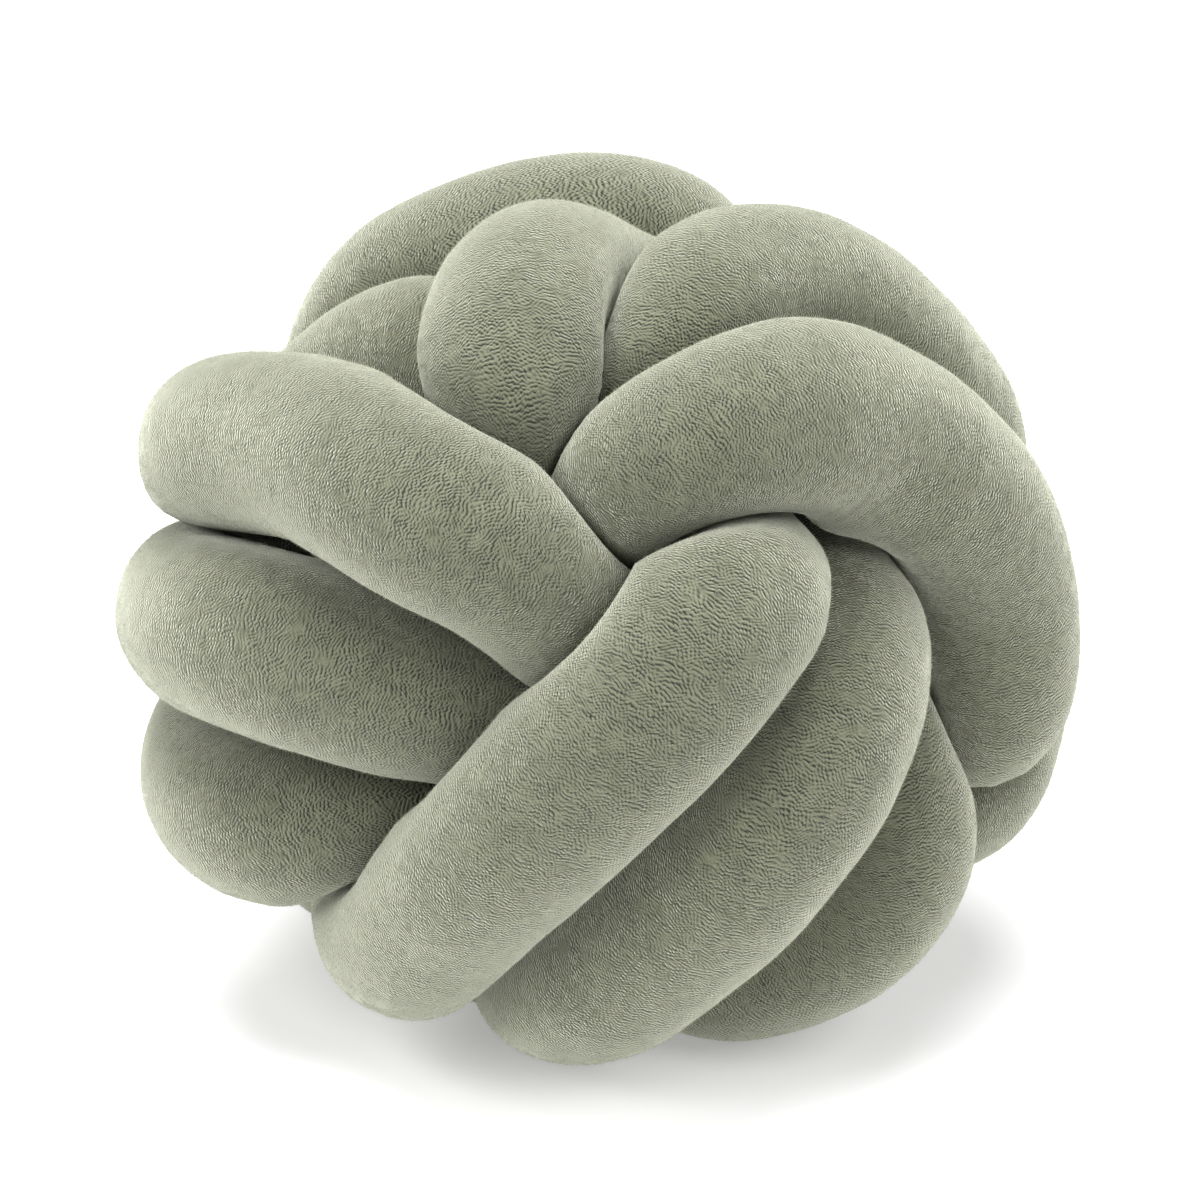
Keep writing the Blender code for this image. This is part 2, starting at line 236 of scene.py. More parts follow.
# The three given axes are nearly square; this makes them exactly so.
left_turn, _, right_turn = np.linalg.svd(np.array([AXIS_P, AXIS_Q, AXIS_R]))
room_axes = left_turn @ right_turn
print("the knot's top axis in the room:", room_axes[2].round(3))

# %% Easing the line
SPACE_OUTER = 0.96       # how near two full passes may come
SPACE_MIXED = 0.74       # how near a full pass and an inner one may come
SPACE_INNER = 0.62       # how near two inner passes may come
SAME_RUN = 1.20          # points this near along the tube don't push each other
REACH = 2.17             # hidden passes stay inside this distance
FLOOR = 1.98             # the floor holds every pass up to this depth
TIGHTEST = 1.50          # the tightest bend, as one over its radius
ROUNDS = 120
PITCH = 0.20             # from one point of the line to the next
FINE_POINTS = 6000       # points that measure the spline before it is spaced
KNOT_POWER = 0.7         # under 1, so that near places aren't crowded on the spline
THIN, THIN_TO_FULL = 0.45, 0.09  # half width where a pass starts to count as full
PUSH, LONGEST_PUSH = 0.2, 0.06   # share of each overlap put right in a round
DRAW_IN, EASE = 0.04, 0.35       # how much each round shortens and evens the line
UNBEND = 0.6             # how much each round opens a bend that is too tight
LAST_EASES, LAST_EASE = 14, 0.45  # the evening out once nothing pushes any more


def middle_pull(line):
    """For each point, the step to the middle of its two neighbours."""
    pull = np.zeros_like(line)
    pull[1:-1] = 0.5 * (line[:-2] + line[2:]) - line[1:-1]
    return pull


def ease_bends(line, much):
    """Even out the bends without drawing the line in."""
    pull = middle_pull(line)
    ease = np.zeros_like(line)
    ease[2:-2] = pull[2:-2] - 0.5 * (pull[1:-3] + pull[3:-1])
    return line + much * ease


# %% The settled centre line
def lay_line():
    """The tube's own centre line, through the places and eased apart."""
    gaps = np.linalg.norm(np.diff(spot, axis=0), axis=1)
    knots = np.concatenate([[0.0], np.cumsum(gaps ** KNOT_POWER)])
    fine = np.linspace(0.0, knots[-1], FINE_POINTS)
    along = run_length(smooth_through(knots, spot, fine))
    at = np.linspace(0.0, along[-1], int(along[-1] / PITCH) + 1)
    back = np.interp(at, along, fine)
    home = smooth_through(knots, spot, back)
    wide = np.interp(back, knots, half)
    firm = np.interp(back, knots, hold)[:, None]
    open_part = np.clip((wide - THIN) / THIN_TO_FULL, 0.0, 1.0)
    inner = 1.0 - open_part
    space = SPACE_INNER * np.outer(inner, inner) + SPACE_OUTER * np.outer(open_part, open_part)
    space = space + SPACE_MIXED * (np.outer(open_part, inner) + np.outer(inner, open_part))
    apart = np.abs(at[:, None] - at[None, :]) > SAME_RUN
    up = room_axes[:, 2]
    line = home.copy()
    for _ in range(ROUNDS):
        step = line[:, None] - line[None]
        far = np.sqrt((step * step).sum(2)) + 1e-9
        push = np.where(apart & (far < space), (space - far) / far, 0.0)
        move = PUSH * (push[:, :, None] * step).sum(1)
        size = np.linalg.norm(move, axis=1, keepdims=True)
        line = line + move * np.minimum(1.0, LONGEST_PUSH / np.maximum(size, 1e-9))
        out = np.linalg.norm(line, axis=1, keepdims=True)
        over = np.where(out > REACH, 0.5 * (out - REACH) / out, 0.0)
        line = line * (1.0 - over * (1.0 - firm / firm.max()))
        line = line + 0.5 * np.clip(-FLOOR - line @ up, 0.0, None)[:, None] * up
        for _ in range(2):
            line = line + DRAW_IN * middle_pull(line)
            line = ease_bends(line, EASE)
        pull = middle_pull(line)
        gap = np.linalg.norm(np.gradient(line, axis=0), axis=1)
        bend = 2.0 * np.linalg.norm(pull, axis=1) / np.maximum(gap, 1e-6) ** 2
        line = line + (UNBEND * np.clip((bend - TIGHTEST) / TIGHTEST, 0.0, 1.0))[:, None] * pull
        line = line + firm * (home - line)
    for _ in range(LAST_EASES):
        line = ease_bends(line, LAST_EASE)
    return line, wide


settled, settled_wide = lay_line()
tube_run = run_length(settled)[-1] * TUBE
print("the tube is", round(tube_run, 2), "m long from tip to tip")

# %% [markdown]
# ## The skin of the tube
#
# Rings of points stand square to the line.  Each point goes out along its own
# ray until it reaches the tube's half width, or the plane half way to any
# other pass, whichever comes first.  That plane is where two stuffed tubes of
# equal firmness press each other flat, so the creases between the turns come
# out sharp and the open sides stay round.  A metaball or a voxel union would
# round the creases off.

# %% Axes across the line
def ring_axes(line):
    """Two square axes across the line at every point, without twist."""
    head = np.gradient(line, axis=0)
    head /= np.linalg.norm(head, axis=1)[:, None]
    side = np.zeros_like(line)
    start = np.cross(head[0], (0.0, 0.0, 1.0))
    side[0] = start / np.linalg.norm(start)
    for i in range(len(line) - 1):
        v = line[i + 1] - line[i]
        c = v @ v
        rl = side[i] - (2.0 / c) * (v @ side[i]) * v
        tl = head[i] - (2.0 / c) * (v @ head[i]) * v
        u = head[i + 1] - tl
        c = u @ u
        side[i + 1] = rl - (2.0 / c) * (u @ rl) * u if c > 1e-12 else rl
    return head, side, np.cross(head, side)


# %% Rings stopped by their neighbours
OTHER_PASS = 1.15        # points further than this along the tube are another pass
LOOK_SQUARED = 10.0      # passes further away than the root of this can't press
FREE = 9.0               # a distance that nothing stops
BEND_STOP = 0.88         # share of a bend's radius that its inner side may take
SLIGHT_BEND = 0.05       # bends gentler than this stop nothing
EDGE_POWER = 9.0         # how sharply a pressed side meets a round one
SWELL_FROM, SWELL_OVER = 2.3, 0.6  # the swelling fades out towards this depth


def skin(line, wide, rings, sides, half_gap):
    """Rings of points on the tube, each stopped where another pass presses.

    Also gives how pressed each point is: the ratio of where it was stopped to
    where it wanted to be, which is under 1 in a crease.
    """
    along = run_length(line)
    head, side, rise = ring_axes(line)
    turn = np.gradient(head, axis=0) / np.gradient(along)[:, None]
    at = np.round(np.linspace(0, len(line) - 1, rings)).astype(int)
    angle = np.linspace(0.0, 2.0 * math.pi, sides, endpoint=False)
    shell = np.zeros((rings, sides, 3))
    free = np.zeros((rings, sides))
    for k, i in enumerate(at):
        ray = np.cos(angle)[:, None] * side[i] + np.sin(angle)[:, None] * rise[i]
        here = line[i]
        deep = np.linalg.norm(here)
        towards = np.clip(-(ray @ here) / max(deep, 1e-6), 0.0, 1.0)
        want = wide[i] + SWELL * towards * np.clip((SWELL_FROM - deep) / SWELL_OVER, 0.0, 1.0)
        away = here - line
        near = (np.abs(along[i] - along) > OTHER_PASS) & ((away * away).sum(1) < LOOK_SQUARED)
        away = away[near]
        reach = (away * away).sum(1) - half_gap * half_gap
        lean = 2.0 * (half_gap - ray @ away.T)
        stop = np.where(lean > 1e-9, reach[None, :] / np.where(lean > 1e-9, lean, 1.0), FREE).min(1)
        inner = ray @ turn[i]
        bend_stop = BEND_STOP / np.maximum(inner, SLIGHT_BEND)
        stop = np.minimum(stop, np.where(inner > SLIGHT_BEND, bend_stop, FREE))
        full = (want ** -EDGE_POWER + stop ** -EDGE_POWER) ** (-1.0 / EDGE_POWER)
        shell[k] = here + full[:, None] * ray
        free[k] = stop / want
    return shell, free


# %% [markdown]
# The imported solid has 384 rings of 14 corners.  The shown skin has many more,
# so that its outline is smooth, and its turns stand 0.4 mm apart in place of
# 1.4 mm, which the eye takes for touching.  The coarse rings are still laid
# once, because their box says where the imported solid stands.

# %% Lay the coarse rings and the fine ones
SOLID_RINGS, SOLID_SIDES = 384, 14
SOLID_HALF_GAP = 0.0007  # half of the crease between two turns of the solid
SOLID_STEP = 0.05        # from one point of the solid's line to the next
RINGS, SIDES = ((2400, 40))
HALF_GAP = 0.0002        # half of the crease between two shown turns

coarse_count = int(round(run_length(settled)[-1] / SOLID_STEP)) + 1
coarse_line, coarse_wide = even_line(settled, settled_wide, coarse_count)
coarse, _ = skin(coarse_line, coarse_wide, SOLID_RINGS, SOLID_SIDES, SOLID_HALF_GAP / TUBE)
coarse = coarse.reshape(-1, 3) @ room_axes * TUBE
stand = np.append(0.5 * (coarse.min(0) + coarse.max(0))[:2], coarse[:, 2].min() + FLAT)
middle = -stand
print("the knot's middle stands at", middle.round(4))

line, wide = even_line(settled, settled_wide, RINGS)
shell, free = skin(line, wide, RINGS, SIDES, HALF_GAP / TUBE)
print("skin of", RINGS * SIDES, "points")

# %% [markdown]
# ## Stuffing that isn't even
#
# Loose fibre stuffing never fills a tube evenly.  A soft swelling and sinking
# of under a millimetre, a few centimetres long, keeps the light from running
# along the tube as it would on a plastic pipe.  Where the tube bends hard its
# inner side is short of room and puckers across.

# %% Lumps and puckers
LUMP = 0.0007 / TUBE     # how far the stuffing swells or sinks
LUMP_SIZE = 0.62         # tube widths from one swelling to the next
SMALL_LUMP_SIZE = 0.45 * LUMP_SIZE  # smaller ones lie on top, half as high
PUCKER = 0.0003 / TUBE   # depth of the puckers on the inside of a bend
PUCKER_PITCH = 0.17      # tube widths from one pucker to the next
PUCKER_FROM = 0.25       # bends gentler than this don't pucker
WANDER_SIZE = 1.7        # how often the puckers wander, per tube width
WANDER_PHASE = 5.0       # and how far, in radians
PRESSED, PRESSED_TO_OPEN = 0.98, 0.12  # where a pressed side starts to count as open

heart = line[:, None, :]
outward = shell - heart
outward /= np.maximum(np.linalg.norm(outward, axis=2, keepdims=True), 1e-9)
swell = np.array([
    [noise.noise(Vector(point / LUMP_SIZE)) + 0.5 * noise.noise(Vector(point / SMALL_LUMP_SIZE))
     for point in ring]
    for ring in shell
])
head, _, _ = ring_axes(line)
along = run_length(line)
turn = np.gradient(head, axis=0) / np.gradient(along)[:, None]
inner_bend = np.clip((outward * turn[:, None, :]).sum(2) - PUCKER_FROM, 0.0, 1.0)
wander = np.array([[noise.noise(Vector(point * WANDER_SIZE)) for point in ring] for ring in shell])
waves = np.sin(2.0 * math.pi * along[:, None] / PUCKER_PITCH + WANDER_PHASE * wander)
open_skin = np.clip((free - PRESSED) / PRESSED_TO_OPEN, 0.0, 1.0)
lift = LUMP * swell * open_skin + PUCKER * waves * inner_bend * open_skin
shell = shell + lift[:, :, None] * outward
print("stuffing moves the skin by up to", round(float(np.abs(lift).max() * TUBE * 1000), 2), "mm")

# %% [markdown]
# ## Folds that would pass through each other
#
# On the inside of the hardest bends the rings stand so close that the skin can
# still fold through itself.  Wherever two faces cross, the skin there and a
# little way round is drawn in towards the tube's own middle, in small steps,
# until the places are clear of each other or the rounds are used up.  The
# print says how many points are left, which isn't always none.

# %% Draw the skin in where it crosses itself
CALM_ROUNDS = 32
CALM_STEP = 0.03         # share of the way to the middle, each round
CALM_SPREADS = 3         # how many points round a crossing are drawn in with it
CALM_FADE = 0.9          # how much of a mark is left after each spread


def ring_faces(rings, sides):
    """Quads of the closed tube."""
    k, j = np.meshgrid(np.arange(rings - 1), np.arange(sides), indexing="ij")
    a = (k * sides + j).ravel()
    b = (k * sides + (j + 1) % sides).ravel()
    return np.stack([a, b, b + sides, a + sides], 1)


def crossing_points(points, faces):
    """The corners of every two faces that cross and don't share a corner."""
    cloud = BVHTree.FromPolygons(points.reshape(-1, 3).tolist(), faces.tolist())
    pairs = np.array(cloud.overlap(cloud))
    pairs = pairs[pairs[:, 0] < pairs[:, 1]]
    one, two = faces[pairs[:, 0]], faces[pairs[:, 1]]
    apart = ~(one[:, :, None] == two[:, None, :]).any((1, 2))
    return np.unique(np.concatenate([one[apart].ravel(), two[apart].ravel()]))


quads = ring_faces(RINGS, SIDES)
keep_out = np.ones((RINGS, SIDES))
for _ in range(CALM_ROUNDS):
    drawn = heart + keep_out[:, :, None] * (shell - heart)
    crossed = crossing_points(drawn, quads)
    if len(crossed) == 0:
        break
    mark = np.zeros(RINGS * SIDES)
    mark[crossed] = 1.0
    mark = mark.reshape(RINGS, SIDES)
    for _ in range(CALM_SPREADS):
        spread = mark + np.roll(mark, 1, 1) + np.roll(mark, -1, 1)
        spread[1:] += mark[:-1]
        spread[:-1] += mark[1:]
        mark = np.maximum(mark * CALM_FADE, spread / 5.0)
    keep_out = keep_out * (1.0 - CALM_STEP * mark)
shell = drawn
print("points that still cross:", len(crossed))

# %% [markdown]
# ## From rings to a mesh
#
# The rings become one closed mesh.  Every point also remembers where it would
# be if the tube were untied and laid straight: how far along it is, measured
# on the side that faces out of the ball, and where on its round.  The cloth's
# pattern is drawn on those coordinates, so its rows follow the tube through
# every bend and meet with no seam.

# %% Build the skin mesh
room = shell.reshape(-1, 3) @ room_axes * TUBE - stand
room[:, 2] = np.maximum(room[:, 2], 0.0)
first, last = np.arange(SIDES), (RINGS - 1) * SIDES + np.arange(SIDES)
caps = [first[::-1].tolist(), last.tolist()]

skin_mesh = bpy.data.meshes.new("plush_tube")
skin_mesh.from_pydata(room.tolist(), [], quads.tolist() + caps)
skin_mesh.update()
skin_mesh.shade_smooth()

# Nearer to the ball's middle than this there is no clear outer side.
NEAR_MIDDLE = 0.6

turn_angle = np.linspace(0.0, 2.0 * math.pi, SIDES, endpoint=False)
outside = line - (line * head).sum(1)[:, None] * head
outside /= np.maximum(np.linalg.norm(outside, axis=1, keepdims=True), NEAR_MIDDLE)
outer_run = run_length(line + 0.5 * outside)
run = np.repeat(outer_run * TUBE, SIDES)
round_y = np.tile(0.5 * TUBE * np.cos(turn_angle), RINGS)
round_z = np.tile(0.5 * TUBE * np.sin(turn_angle), RINGS)
straight = skin_mesh.attributes.new("straight", "FLOAT_VECTOR", "POINT")
straight.data.foreach_set("vector", np.stack([run, round_y, round_z], 1).astype(np.float32).ravel())

plush_tube = bpy.data.objects.new("plush_tube", skin_mesh)
bpy.context.scene.collection.objects.link(plush_tube)
print("skin:", len(skin_mesh.vertices), "points,", len(quads) * 2, "triangles")

# %% [markdown]
# ## Writing a material as sums
#
# A material is a net of nodes, and joining them by hand hides the sums they
# make.  This small class stands for one socket.  Adding, multiplying or
# subtracting two of them adds the node that does it, so a finish can be read
# as an expression.

# %% Threads of a material
class Thread:
    """One socket of a material, so that nodes can be written as sums."""

    def __init__(self, tree, socket):
        self.tree = tree
        self.socket = socket

    def node(self, kind, settings=None, values=None, out=0):
        """Add a node of this kind: its settings first, then its sockets."""
        made = self.tree.nodes.new(kind)
        for name, value in (settings or {}).items():
            setattr(made, name, value)
        for name, value in (values or {}).items():
            if isinstance(value, Thread):
                self.tree.links.new(value.socket, made.inputs[name])
            else:
                made.inputs[name].default_value = value
        return Thread(self.tree, made.outputs[out])

    def is_vector(self):
        """Whether this is a place or a colour, and not one number."""
        return self.socket.type in ("VECTOR", "RGBA")

    def sum_of(self, operation, first, second):
        """One Math or Vector Math node on two values."""
        both = (first, second)
        if any(isinstance(x, tuple) or (isinstance(x, Thread) and x.is_vector()) for x in both):
            whole = [(x, x, x) if isinstance(x, (int, float)) else x for x in both]
            return self.node("ShaderNodeVectorMath", {"operation": operation}, dict(enumerate(whole)))
        return self.node("ShaderNodeMath", {"operation": operation}, {0: first, 1: second})

    def __add__(self, other):
        return self.sum_of("ADD", self, other)

    def __radd__(self, other):
        return self.sum_of("ADD", other, self)

    def __sub__(self, other):
        return self.sum_of("SUBTRACT", self, other)

    def __rsub__(self, other):
        return self.sum_of("SUBTRACT", other, self)

    def __mul__(self, other):
        return self.sum_of("MULTIPLY", self, other)

    def __rmul__(self, other):
        return self.sum_of("MULTIPLY", other, self)

    def sine(self):
        """The sine of this number, in radians."""
        return self.node("ShaderNodeMath", {"operation": "SINE"}, {0: self})

    def parts(self):
        """The three numbers of a place, one thread each."""
        split = self.node("ShaderNodeSeparateXYZ", {}, {0: self}).socket.node
        return [Thread(self.tree, end) for end in split.outputs]

    def between(self, low, high):
        """0 below low, 1 above high, and smooth between."""
        return self.node("ShaderNodeMapRange", {"interpolation_type": "SMOOTHSTEP"},
                         {"Value": self, "From Min": low, "From Max": high})

    def blend(self, first, second):
        """A colour from first to second as this value goes from 0 to 1."""
        return self.node("ShaderNodeMix", {"data_type": "RGBA"}, {"Factor": self, 6: first, 7: second}, 2)


def new_cloth(name):
    """A new material, its shader, and a thread to start sums from."""
    cloth = bpy.data.materials.new(name)
    cloth.use_nodes = True
    shader = cloth.node_tree.nodes["Principled BSDF"]
    return cloth, shader, Thread(cloth.node_tree, None)


# %% [markdown]
# ## The ground of the plush
#
# Between the hairs lies a knitted ground.  Its rows and the way the pile
# parts over them leave short worm-like ridges about a millimetre apart, mostly
# across the tube, with thin valleys between, whose shade is painted into the
# colour, near black.  Each set of rows is a sine wave along the tube, tilted a
# little and pushed to and fro by a slow noise.
# Six sets, each with its own tilt and pitch, come and go in patches, so the
# ridges run straight here and cross there, as they do in real pile.  The pale
# glow that short pile has along every rim is the sheen.

# %% The ground material
SAGE = (0.145, 0.153, 0.100, 1.0)
# Painted shade: the near-black colour painted into the valleys between the ridges.
SAGE_PAINTED_SHADE = (0.003, 0.004, 0.002, 1.0)
ROW_PITCH_MM = 1.06       # from one row of pile to the next
WANDER_MM = 3.0           # how soon a row changes its way
WANDER_TURNS = 0.7        # by how many rows it may be moved
PATCH_MM = 5.0            # how far one set of rows runs before another takes over
CLUMP_MM = 2.4            # hairs that lean together
# Painted sheen: the size of the lighter and darker patches where brushed pile would catch the light.
BRUSHED_SHEEN_MM = 9.0          # how far the plush is brushed one way
VALLEY, RIDGE = 0.12, 0.7  # the heights that are darkest and palest
RIDGE_DEPTH = 0.0004      # how deep the ridges look, in metres

ground, ground_shader, start = new_cloth("plush_ground")
laid = start.node("ShaderNodeAttribute", {"attribute_name": "straight"}, out=1) * 1000.0
run_mm, round_y_mm, round_z_mm = laid.parts()
angle = start.node("ShaderNodeMath", {"operation": "ARCTAN2"}, {0: round_z_mm, 1: round_y_mm})


def three_noises(size_mm, seed, around_zero=False):
    """Three soft noises of this many millimetres, none like the others."""
    return start.node("ShaderNodeTexNoise", {"normalize": not around_zero}, {
        "Vector": laid * (1.0 / size_mm) + (seed, seed, seed), "Scale": 1.0, "Detail": 0.0}, 1).parts()


def rows(tilt, pitch, drift, share):
    """Fine rows across the tube, tilted by so many degrees, that come and go."""
    tilt = math.radians(tilt)
    pitch = pitch * ROW_PITCH_MM
    rows_round = round(math.pi * TUBE * 1000.0 / pitch * math.sin(tilt))
    phase = run_mm * (2.0 * math.pi * math.cos(tilt) / pitch) + angle * float(rows_round)
    return (phase + drift * (2.0 * math.pi * WANDER_TURNS)).sine() * share.between(0.3, 0.7)


drifts = three_noises(WANDER_MM, 17.0, True) + three_noises(WANDER_MM, 31.0, True)
shares = three_noises(PATCH_MM, 47.0) + three_noises(PATCH_MM, 59.0)
clumps = three_noises(CLUMP_MM, 71.0)[0] - 0.5
height = rows(3.0, 1.0, drifts[0], shares[0]) + rows(-14.0, 1.3, drifts[1], shares[1])
height = height + rows(19.0, 0.85, drifts[2], shares[2]) + rows(-27.0, 1.12, drifts[3], shares[3]) * 0.9
height = height + rows(47.0, 1.0, drifts[4], shares[4]) * 0.9 + rows(-50.0, 0.8, drifts[5], shares[5]) * 0.8
height = height * 0.2 + clumps * 0.3 + 0.5
# Painted sheen: a slow noise that lightens and darkens the colour in patches, as brushed pile catches light.
brushed_sheen = three_noises(BRUSHED_SHEEN_MM, 3.0)[0]
bump = start.node("ShaderNodeBump", {}, {"Strength": 1.0, "Distance": RIDGE_DEPTH, "Height": height})
# The colour follows the height, so the valleys and the low clumps are painted near black: painted shade.
colour = height.between(VALLEY, RIDGE).blend(SAGE_PAINTED_SHADE, SAGE) * (brushed_sheen * 0.35 + 0.82)
start.tree.links.new(colour.socket, ground_shader.inputs["Base Color"])
start.tree.links.new(bump.socket, ground_shader.inputs["Normal"])
ground_shader.inputs["Roughness"].default_value = 0.95
ground_shader.inputs["Specular IOR Level"].default_value = 0.2
ground_shader.inputs["Sheen Weight"].default_value = 1.0
ground_shader.inputs["Sheen Roughness"].default_value = 0.5
ground_shader.inputs["Sheen Tint"].default_value = (0.985, 1.0, 0.84, 1.0)
skin_mesh.materials.append(ground)
print("ground material with", len(ground.node_tree.nodes), "nodes")

# %% [markdown]
# ## The pile
#
# Short soft hairs, under a millimetre long, stand nearly straight all over the
# ground.  A sheen alone would give the glow but leave every outline as sharp
# as plastic, so real hairs are laid as thin single triangles, joined into a
# few meshes.  Each hair leans across the tube, one way or the other, as pile
# does after it has been stroked.  Hairs are left out where two turns press and
# where nobody can see.  Their colours are painted much paler than the ground,
# so that where they close up along a rim it comes out pale: a painted sheen.

# %% Which parts of the skin lie open
HAIR_LENGTH = 0.0007     # metres
HAIR_WIDTH = 0.00008     # at the root
HAIR_PIECES = 4
HAIRS_A_PIECE = 198000
SEEN_FROM = 0.012        # how far a hair must see to count as open, in metres
START_OFF = 0.0008       # where each ray starts, above the skin, in metres
RAY_LEAN = 0.7           # how far the four slanted rays lean
OPEN_ENOUGH = 0.3        # the share of free rays that counts as open below
STEP = 4                 # the rings that are looked at; the rest lie between

tree = BVHTree.FromPolygons([Vector(p) for p in room], quads.tolist())
grid = room.reshape(RINGS, SIDES, 3)
lengthways = np.gradient(grid, axis=0)
roundways = np.roll(grid, -1, axis=1) - np.roll(grid, 1, axis=1)
facing = np.cross(lengthways, roundways)
facing /= np.maximum(np.linalg.norm(facing, axis=2, keepdims=True), 1e-12)
facing *= np.sign((facing * (outward @ room_axes)).sum(2, keepdims=True))
lengthways /= np.maximum(np.linalg.norm(lengthways, axis=2, keepdims=True), 1e-12)


def openness(step):
    """For every step-th ring, the share of five rays that leave the skin free."""
    seen = np.zeros((len(range(0, RINGS, step)), SIDES))
    leans = [(0.0, 0.0), (RAY_LEAN, 0.0), (-RAY_LEAN, 0.0), (0.0, RAY_LEAN), (0.0, -RAY_LEAN)]
    for a, k in enumerate(range(0, RINGS, step)):
        for j in range(SIDES):
            n, t = facing[k, j], lengthways[k, j]
            b = np.cross(n, t)
            begin = Vector(grid[k, j] + START_OFF * n)
            for u, v in leans:
                if tree.ray_cast(begin, Vector(n + u * t + v * b), SEEN_FROM)[0] is None:
                    seen[a, j] += 0.2
    return seen


coarse_open = openness(STEP)
ring_open = np.arange(0, RINGS, STEP)
open_share = np.stack([np.interp(np.arange(RINGS), ring_open, coarse_open[:, j]) for j in range(SIDES)], 1)
print("open share of the skin:", round(float((open_share > OPEN_ENOUGH).mean()), 2))

# %% Lay the hairs
LEAST_LEAN, MORE_LEAN = 0.25, 0.50    # how far a hair leans, at least and besides
SHORTEST, LONGER = 0.6, 0.6           # shares of the hair's length, the same way
SWING = 0.5                           # how far a hair's lean strays, in radians
TOUCHES_FLOOR = 0.0012                # no hairs below this height, in metres
OPEN_GAIN, OPEN_LOSS = 1.6, 0.3       # pile thins out where the skin is half hidden

chance = np.random.default_rng(20)
corner = grid.reshape(-1, 3)[quads]
edge_one, edge_two = corner[:, 1] - corner[:, 0], corner[:, 3] - corner[:, 0]
area = np.linalg.norm(np.cross(edge_one, edge_two), axis=1)
weight = area * np.clip(open_share.reshape(-1)[quads].mean(1) * OPEN_GAIN - OPEN_LOSS, 0.0, 1.0)
weight *= corner[:, :, 2].max(1) > TOUCHES_FLOOR
weight /= weight.sum()
shown_area = area[weight > 0].sum()
print("pile covers", round(float(shown_area), 3), "m2")


def lay_hairs(name, count, colour):
    """One joined mesh of single-triangle hairs, in one shade."""
    face = chance.choice(len(quads), count, p=weight)
    s, t = chance.random((2, count, 1))
    spread = [(1 - s) * (1 - t), s * (1 - t), s * t, (1 - s) * t]
    q = quads[face]
    root = sum(w * grid.reshape(-1, 3)[q[:, i]] for i, w in enumerate(spread))
    up = sum(w * facing.reshape(-1, 3)[q[:, i]] for i, w in enumerate(spread))
    way = lengthways.reshape(-1, 3)[q[:, 0]]
    across = np.cross(up, way)
    lean = LEAST_LEAN + MORE_LEAN * chance.random((count, 1))
    swing = 0.5 * math.pi * chance.choice([-1.0, 1.0], (count, 1)) + chance.normal(0.0, SWING, (count, 1))
    stem = up + lean * (np.cos(swing) * way + np.sin(swing) * across)
    stem /= np.linalg.norm(stem, axis=1, keepdims=True)
    flat = np.cross(stem, chance.normal(size=(count, 3)))
    flat /= np.maximum(np.linalg.norm(flat, axis=1, keepdims=True), 1e-9)
    length = HAIR_LENGTH * (SHORTEST + LONGER * chance.random((count, 1)))
    tip = root + length * stem
    points = np.stack([root - 0.5 * HAIR_WIDTH * flat, root + 0.5 * HAIR_WIDTH * flat, tip], 1)
    points[:, :, 2] = np.maximum(points[:, :, 2], 0.0)
    mesh = bpy.data.meshes.new(name)
    mesh.vertices.add(3 * count)
    mesh.loops.add(3 * count)
    mesh.polygons.add(count)
    mesh.vertices.foreach_set("co", points.astype(np.float32).ravel())
    mesh.loops.foreach_set("vertex_index", np.arange(3 * count, dtype=np.int32))
    mesh.polygons.foreach_set("loop_start", np.arange(0, 3 * count, 3, dtype=np.int32))
    mesh.update(calc_edges=True)
    mesh.validate()
    cloth, shader, _ = new_cloth(name)
    shader.inputs["Base Color"].default_value = colour
    shader.inputs["Roughness"].default_value = 0.9
    shader.inputs["Specular IOR Level"].default_value = 0.1
    mesh.materials.append(cloth)
    hairs = bpy.data.objects.new(name, mesh)
    bpy.context.scene.collection.objects.link(hairs)
    return hairs


# The hairs' own sage in four random shades, all painted much paler than the ground so that rims, where the
# hairs close up, come out pale: a painted sheen.
PALE_PAINTED_HAIR_COLOURS = [
    (0.50, 0.515, 0.41, 1.0),
    (0.44, 0.455, 0.35, 1.0),
    (0.40, 0.415, 0.31, 1.0),
    (0.56, 0.575, 0.46, 1.0),
]
piles = [lay_hairs(f"pile_{k + 1}", HAIRS_A_PIECE, PALE_PAINTED_HAIR_COLOURS[k]) for k in range(HAIR_PIECES)]
print("pile:", HAIR_PIECES * HAIRS_A_PIECE, "hairs,",
      round(HAIR_PIECES * HAIRS_A_PIECE / shown_area / 1e6, 2), "to a square millimetre")

# %% [markdown]
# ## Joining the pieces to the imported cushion
#
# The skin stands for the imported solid, which is hidden but still carries the
# weight.  The tube is firmly stuffed.  The pile goes where the tube goes.

# %% Say what each piece is
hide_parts("knotted_tube")
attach(plush_tube, "root")
for hairs in piles:
    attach(hairs, "root")

# %% [markdown]
# ## Floor, light and camera
#
# The photograph is a plain one on white.  A wide pale floor that glows a
# little, like a light table, stands in for the paper.  A large soft light
# hangs almost straight above and two weaker ones stand left and right of the
# camera, so the tops of the turns are pale and the creases sink into shade.

# %% The floor
FLOOR_EDGE = 6.0         # from the middle to each edge, in metres
JUST_BELOW = -0.0004     # how high the floor lies, a little under the cushion

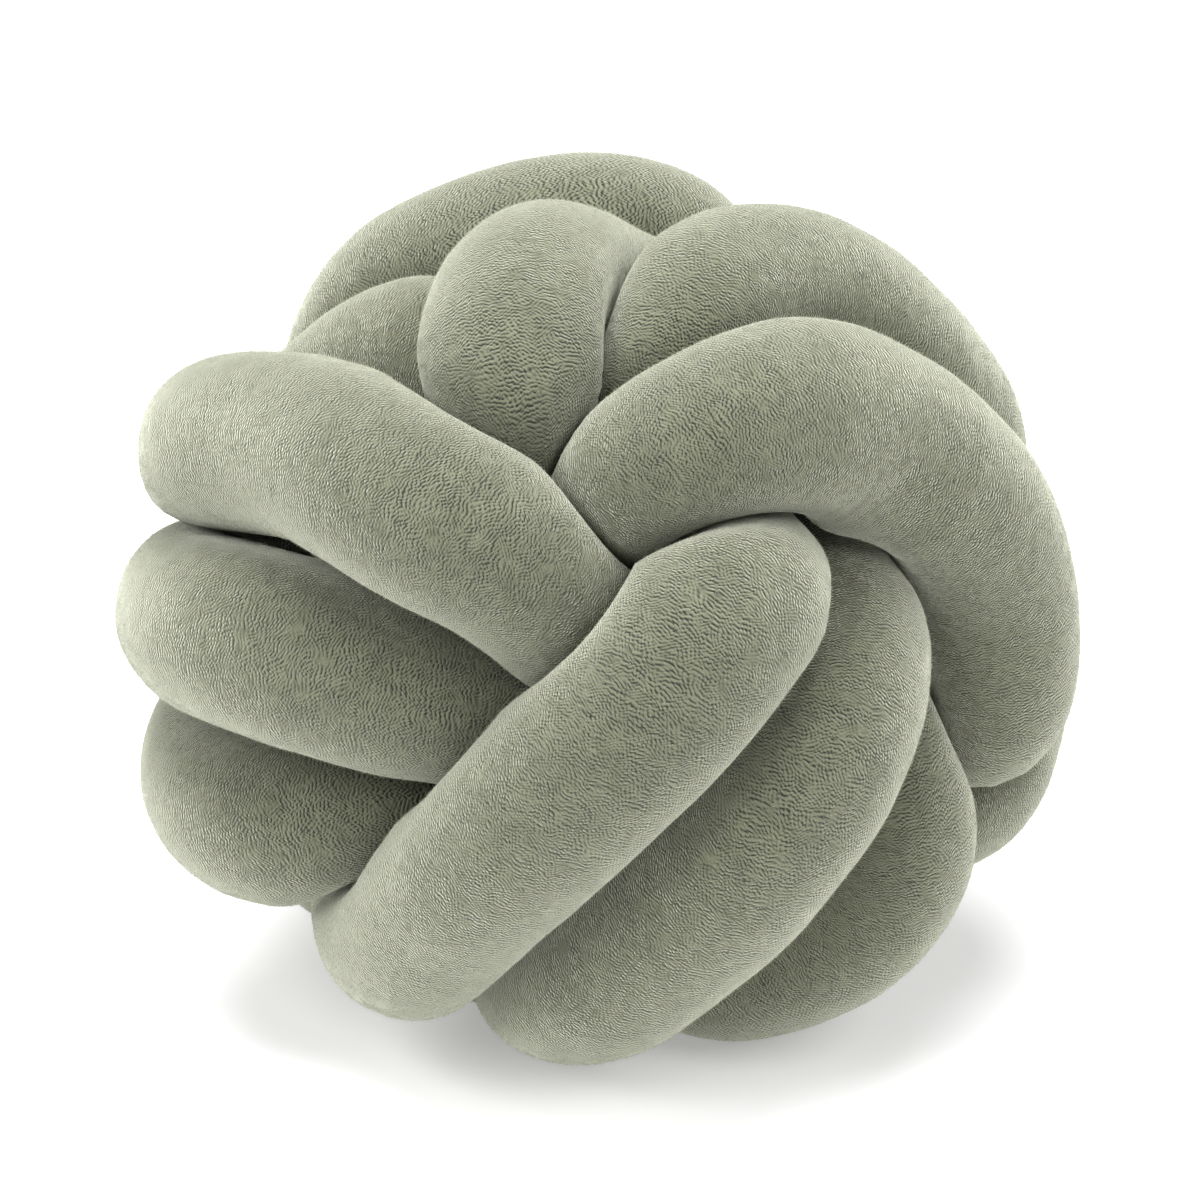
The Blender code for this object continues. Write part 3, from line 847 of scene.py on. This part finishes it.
corners = [(x * FLOOR_EDGE, y * FLOOR_EDGE, 0.0) for x, y in ((-1, -1), (1, -1), (1, 1), (-1, 1))]
floor_mesh = bpy.data.meshes.new("floor")
floor_mesh.from_pydata(corners, [], [(0, 1, 2, 3)])
paper, paper_shader, _ = new_cloth("pale_paper")
paper_shader.inputs["Base Color"].default_value = (0.90, 0.90, 0.90, 1.0)
paper_shader.inputs["Roughness"].default_value = 0.9
paper_shader.inputs["Emission Color"].default_value = (1.0, 1.0, 1.0, 1.0)
paper_shader.inputs["Emission Strength"].default_value = 0.3
floor_mesh.materials.append(paper)
floor = bpy.data.objects.new("floor", floor_mesh)
floor.location.z = JUST_BELOW
bpy.context.scene.collection.objects.link(floor)
print("floor", 2.0 * FLOOR_EDGE, "m square")

# %% The lights
aim = Vector(middle)


def soft_light(name, place, size, power):
    """A round light that looks at the middle of the ball."""
    data = bpy.data.lights.new(name, "AREA")
    data.shape = "DISK"
    data.size = size
    data.energy = power
    light = bpy.data.objects.new(name, data)
    light.location = aim + Vector(place)
    light.rotation_euler = (-Vector(place)).to_track_quat("-Z", "Y").to_euler()
    bpy.context.scene.collection.objects.link(light)


soft_light("top_light", (-0.1, 0.1, 2.0), 2.0, 78.0)
soft_light("left_light", (-1.2, -1.0, 1.2), 1.2, 26.0)
soft_light("right_light", (1.2, -1.0, 1.2), 1.2, 18.0)

world = bpy.data.worlds.new("studio")
bpy.context.scene.world = world
world.use_nodes = True
world.node_tree.nodes["Background"].inputs["Color"].default_value = (1.0, 1.0, 1.0, 1.0)
world.node_tree.nodes["Background"].inputs["Strength"].default_value = 0.15
bpy.context.scene.view_settings.view_transform = "Standard"
print("three soft lights and a faint white world")

# %% [markdown]
# The photograph seems to be taken from about 23 degrees above the table, with a
# long lens; both were worked out from it.  The ball's middle sits a
# little left of and below the picture's own middle, so the camera aims that
# much to the right of the ball's middle and above it.

# %% The camera
ELEVATION = math.radians(23.0)
AWAY = 1.345             # metres from the ball's middle
LENS, SENSOR = 135.0, 36.0
PIXELS_A_METRE = 1200.0 * LENS / SENSOR / AWAY
AIM_RIGHT, AIM_UP = 3.0, 5.0  # pixels from the ball's middle to the picture's
right = Vector((1.0, 0.0, 0.0))
rise_axis = Vector((0.0, math.sin(ELEVATION), math.cos(ELEVATION)))
towards = Vector((0.0, -math.cos(ELEVATION), math.sin(ELEVATION)))
look_at = aim + right * (AIM_RIGHT / PIXELS_A_METRE) + rise_axis * (AIM_UP / PIXELS_A_METRE)

lens = bpy.data.cameras.new("camera")
lens.lens = LENS
lens.sensor_width = SENSOR
lens.clip_end = 20.0
camera = bpy.data.objects.new("camera", lens)
camera.location = look_at + towards * AWAY
camera.rotation_euler = (math.pi / 2.0 - ELEVATION, 0.0, 0.0)
bpy.context.scene.collection.objects.link(camera)
bpy.context.scene.camera = camera
print("camera at", [round(c, 3) for c in camera.location])
